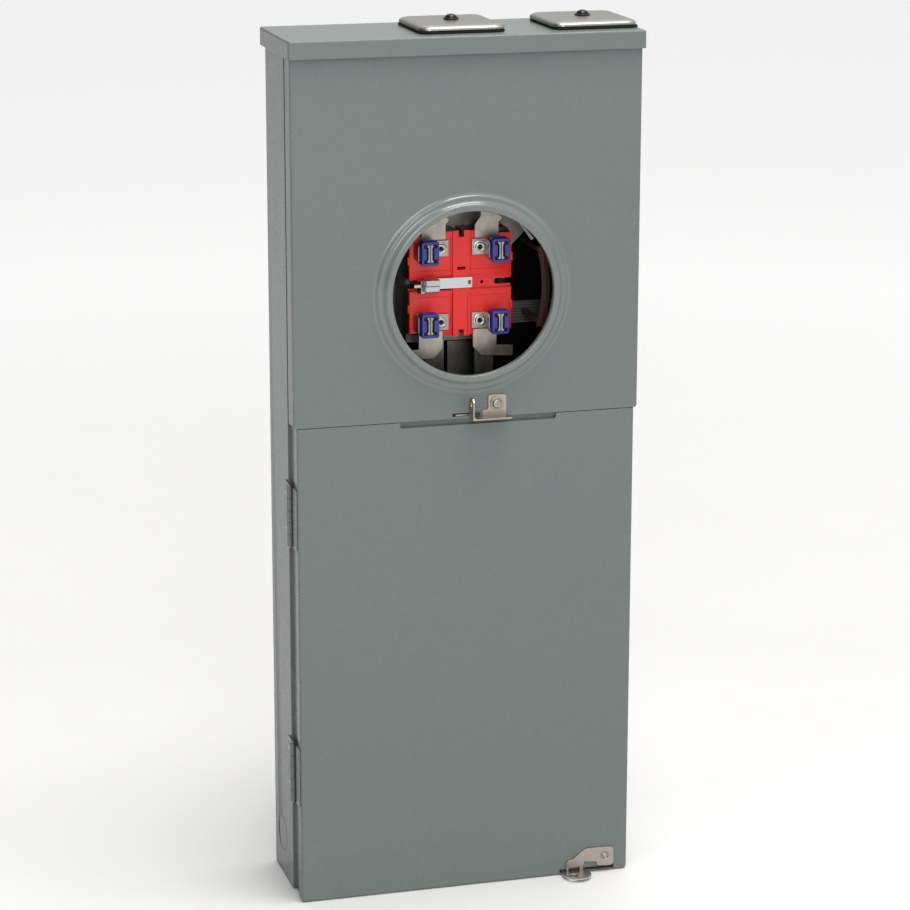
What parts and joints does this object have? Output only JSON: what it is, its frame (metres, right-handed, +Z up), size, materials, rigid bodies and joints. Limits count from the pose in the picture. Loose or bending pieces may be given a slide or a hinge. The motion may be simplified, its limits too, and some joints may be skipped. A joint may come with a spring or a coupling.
{
  "type": "meter socket enclosure",
  "caption": "Ringless meter socket over a breaker compartment in one tall wall box, with a hinged door, a lift-off meter cover, latches and hub plates on top.",
  "frame": {"origin": "centre of the flat back face that goes against the wall", "axes": "+Z up, +Y out of the back into the wall, so the covers face -Y; +X to the right of a person facing the front"},
  "size_m": [0.3483, 0.1404, 0.8637],
  "materials": {
    "grey_paint": "satin grey-green enamel",
    "galvanised": "dull galvanised steel",
    "stainless": "brushed stainless steel",
    "tin_plate": "bright tin-plated copper alloy",
    "aluminium": "extruded aluminium",
    "red_plastic": "moulded red thermoset",
    "blue_plastic": "moulded blue plastic",
    "black_plastic": "moulded black phenolic",
    "maroon_plastic": "dark red-brown flexible plastic",
    "gasket_rubber": "black rubber",
    "zinc_screw": "zinc-plated steel"
  },
  "bodies": {
    "enclosure": {"back_box": "grey_paint", "top_cap": "grey_paint", "compartment_barrier": "grey_paint", "deadfront": "grey_paint", "hub_plate_left": "galvanised", "hub_plate_right": "galvanised", "socket_bracket": "galvanised", "neutral_link": "galvanised", "interior_pan": "galvanised", "hub_gasket_left": "gasket_rubber", "hub_gasket_right": "gasket_rubber", "hub_screw_left": "zinc_screw", "hub_screw_right": "zinc_screw", "meter_block": "red_plastic", "jaw_upper_left": "tin_plate", "jaw_upper_right": "tin_plate", "jaw_lower_left": "tin_plate", "jaw_lower_right": "tin_plate", "jaw_clip_upper_left": "blue_plastic", "jaw_clip_upper_right": "blue_plastic", "jaw_clip_lower_left": "blue_plastic", "jaw_clip_lower_right": "blue_plastic", "jaw_screw_upper_left": "zinc_screw", "jaw_screw_upper_right": "zinc_screw", "jaw_screw_lower_left": "zinc_screw", "jaw_screw_lower_right": "zinc_screw", "line_strap_left": "tin_plate", "line_strap_right": "tin_plate", "load_strap_left": "tin_plate", "load_strap_right": "tin_plate", "line_bus_left": "tin_plate", "line_bus_right": "tin_plate", "branch_bus_left": "tin_plate", "branch_bus_right": "tin_plate", "line_lug_left": "aluminium", "line_lug_right": "aluminium", "bonding_bar": "aluminium", "neutral_bar": "aluminium", "ground_bar": "aluminium", "bonding_clamp": "tin_plate", "line_lug_base": "black_plastic", "breaker_base": "black_plastic", "main_breaker": "black_plastic", "wire_guard": "maroon_plastic", "hinge_leaf_upper": "grey_paint", "hinge_leaf_lower": "grey_paint", "hinge_pin_upper": "stainless", "hinge_pin_lower": "stainless", "door_staple": "stainless", "meter_staple": "stainless"},
    "breaker_door": {"breaker_door": "grey_paint", "door_leaf_upper": "grey_paint", "door_leaf_lower": "grey_paint", "door_latch_rivet": "stainless"},
    "door_latch": {"door_latch": "stainless"},
    "meter_cover": {"meter_cover": "grey_paint", "meter_latch_screw": "zinc_screw"},
    "meter_latch": {"meter_latch": "stainless"},
    "main_breaker_handle": {"main_breaker_handle": "black_plastic"}
  },
  "joints": [
    {"name": "breaker_door_hinge", "type": "hinge", "parent": "enclosure", "child": "breaker_door", "pos_m": [-0.1715, -0.093, -0.1841], "axis": [0, 0, -1], "range_deg": [0, 135]},
    {"name": "door_latch_pivot", "type": "hinge", "parent": "breaker_door", "child": "door_latch", "pos_m": [0.145, -0.1163, -0.4082], "axis": [0, 1, 0], "range_deg": [0, 80]},
    {"name": "meter_cover_tilt", "type": "hinge", "parent": "enclosure", "child": "meter_cover", "pos_m": [0, -0.1152, 0.4195], "axis": [-1, 0, 0], "range_deg": [0, 14]},
    {"name": "meter_latch_pivot", "type": "hinge", "parent": "meter_cover", "child": "meter_latch", "pos_m": [0.0285, -0.1163, 0.0706], "axis": [0, -1, 0], "range_deg": [0, 90]},
    {"name": "main_breaker_toggle", "type": "hinge", "parent": "enclosure", "child": "main_breaker_handle", "pos_m": [0, -0.08, -0.065], "axis": [1, 0, 0], "range_deg": [0, 40]}
  ]
}
